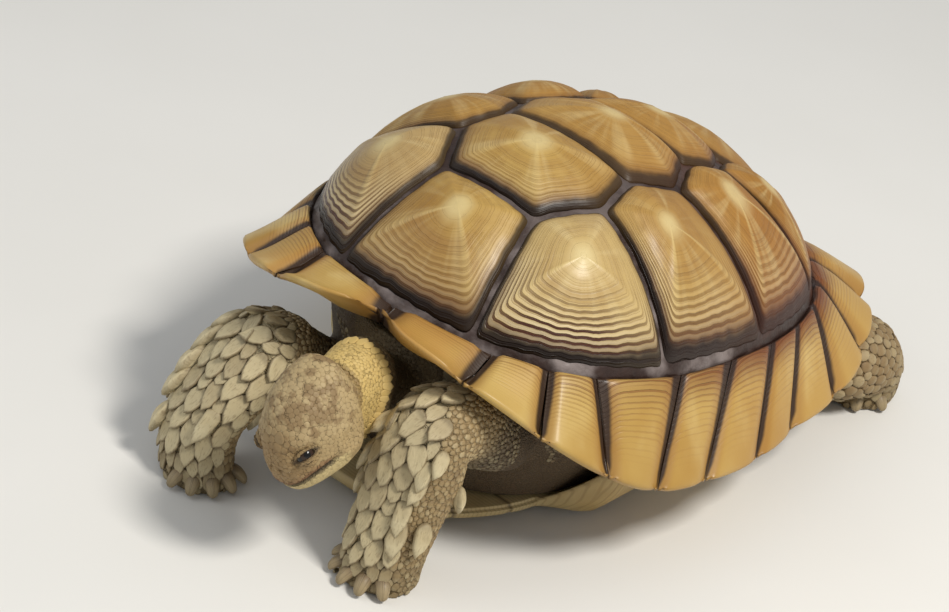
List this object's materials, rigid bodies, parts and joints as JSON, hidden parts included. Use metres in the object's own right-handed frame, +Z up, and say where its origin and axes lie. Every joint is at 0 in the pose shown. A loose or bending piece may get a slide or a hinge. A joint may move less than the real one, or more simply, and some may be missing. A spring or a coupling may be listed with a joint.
{
  "type": "sulcata tortoise",
  "caption": "Still life-size model of a grown sulcata tortoise, standing with its front raised and its head lowered as if to eat.",
  "frame": {"origin": "on the floor, under the middle of the whole animal's bounding box", "axes": "+Z up, the head points to -Y and the tail to +Y, the animal's left side is +X"},
  "size_m": [0.4708, 0.7476, 0.3143],
  "materials": {
    "shell_horn": "satin horn, tan with fine brown growth rings",
    "rim_horn": "satin horn, golden orange",
    "seam_horn": "glossy dark brown horn in the seams",
    "pale_horn": "matt pale yellow horn",
    "head_skin": "dry scaly skin, tan with brown mottling",
    "body_skin": "dry wrinkled skin",
    "leg_scales": "dry overlapping horny scales, grey tan",
    "eye": "wet dark brown"
  },
  "bodies": {
    "root": {"vertebral_1": "shell_horn", "vertebral_2": "shell_horn", "vertebral_3": "shell_horn", "vertebral_4": "shell_horn", "vertebral_5": "shell_horn", "costal_left_1": "shell_horn", "costal_right_1": "shell_horn", "costal_left_2": "shell_horn", "costal_right_2": "shell_horn", "costal_left_3": "shell_horn", "costal_right_3": "shell_horn", "costal_left_4": "shell_horn", "costal_right_4": "shell_horn", "marginal_left_1": "rim_horn", "marginal_right_1": "rim_horn", "marginal_left_2": "rim_horn", "marginal_right_2": "rim_horn", "marginal_left_3": "rim_horn", "marginal_right_3": "rim_horn", "marginal_left_4": "rim_horn", "marginal_right_4": "rim_horn", "marginal_left_5": "rim_horn", "marginal_right_5": "rim_horn", "marginal_left_6": "rim_horn", "marginal_right_6": "rim_horn", "marginal_left_7": "rim_horn", "marginal_right_7": "rim_horn", "marginal_left_8": "rim_horn", "marginal_right_8": "rim_horn", "marginal_left_9": "rim_horn", "marginal_right_9": "rim_horn", "marginal_left_10": "rim_horn", "marginal_right_10": "rim_horn", "marginal_left_11": "rim_horn", "marginal_right_11": "rim_horn", "supracaudal": "rim_horn", "carapace_core": "seam_horn", "plastron": "pale_horn", "trunk": "body_skin", "head": "head_skin", "eye_left": "eye", "eye_right": "eye", "neck": "head_skin", "foreleg_left": "leg_scales", "foreleg_right": "leg_scales", "hindleg_left": "leg_scales", "hindleg_right": "leg_scales", "tail": "leg_scales"}
  },
  "joints": []
}
